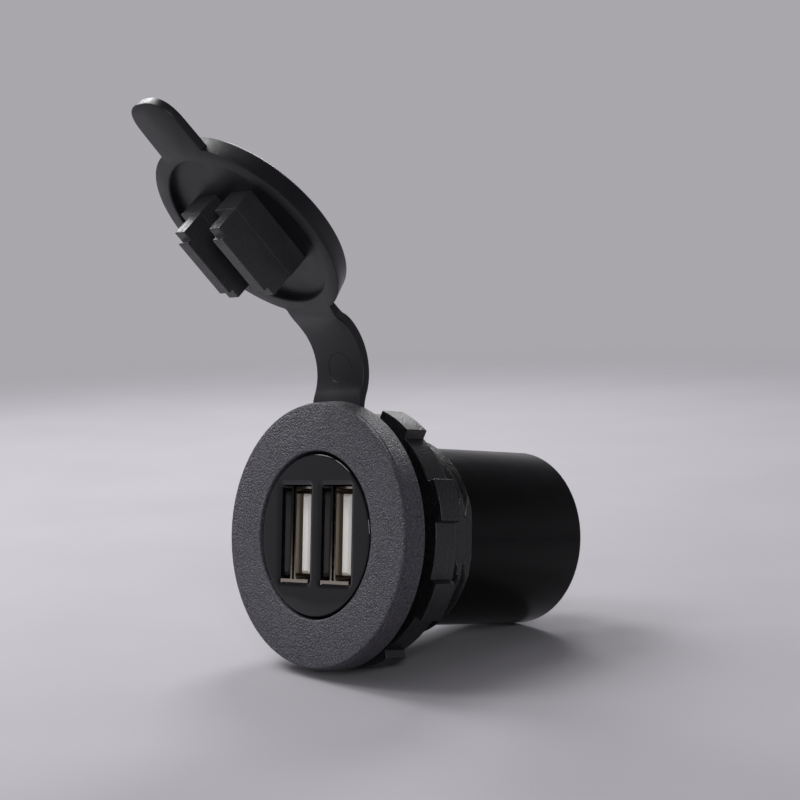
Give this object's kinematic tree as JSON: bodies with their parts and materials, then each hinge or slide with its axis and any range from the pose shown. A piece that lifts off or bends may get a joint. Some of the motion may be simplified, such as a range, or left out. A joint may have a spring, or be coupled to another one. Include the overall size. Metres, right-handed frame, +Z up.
{
  "type": "panel-mount usb power socket",
  "caption": "Round panel-mount vehicle power socket with upright USB ports, threaded sleeve with lugged nut, barrel with spade terminals, and a strapped rubber dust cover.",
  "frame": {"origin": "centre of the flange's back face, on the socket's axis", "axes": "+Y along the socket's axis from the face to the terminals, +Z up towards the dust cover's strap, +X to the right seen from the front"},
  "size_m": [0.037, 0.0768, 0.0746],
  "materials": {
    "housing": "fine spark-eroded grain, satin",
    "faceplate": "polished black",
    "shell": "stamped, nickel plated",
    "tongue": "moulded, off-white",
    "contact": "gold plated",
    "board": "solder mask",
    "ferrite": "sintered ferrite",
    "winding": "enamelled copper wire",
    "capacitor": "bare can",
    "chip": "moulded epoxy",
    "rear": "fine grain",
    "terminal": "tinned brass",
    "nut": "fine spark-eroded grain",
    "rubber": "soft matte rubber"
  },
  "bodies": {
    "socket": {"socket_body": "housing", "face_insert": "faceplate", "usb_shell_left": "shell", "usb_shell_right": "shell", "usb_tongue_left": "tongue", "usb_tongue_right": "tongue", "usb_contacts_left": "contact", "usb_contacts_right": "contact", "usb_board": "board", "converter_board": "board", "inductor_core": "ferrite", "inductor_winding": "winding", "input_capacitor": "capacitor", "output_capacitor": "capacitor", "regulator_chip": "chip", "rectifier_diode": "chip", "rear_cover": "rear", "terminal_positive": "terminal", "terminal_negative": "terminal", "dust_cover_collar": "rubber"},
    "nut": {"retaining_nut": "nut"},
    "strap": {"dust_cover_strap": "rubber"},
    "cap": {"dust_cover_cap": "rubber"}
  },
  "joints": [
    {"name": "strap_bend", "type": "hinge", "parent": "socket", "child": "strap", "pos_m": [0, 0.0001, 0.02298], "axis": [0.9993, 0.02, -0.0325], "range_deg": [0, 119.67], "stiffness_Nm_per_rad": 0.02},
    {"name": "neck_bend", "type": "hinge", "parent": "strap", "child": "cap", "pos_m": [0.00045, -0.00398, 0.03034], "axis": [0.8136, -0.0583, 0.5785], "range_deg": [0, 14.14], "stiffness_Nm_per_rad": 0.02},
    {"name": "nut_travel", "type": "slide", "parent": "socket", "child": "nut", "axis": [0, 1, 0], "range_m": [-0.002, 0.0066]}
  ],
  "couplings": [
    {"joint": "neck_bend", "follows": "strap_bend", "ratio": 0.11819}
  ]
}
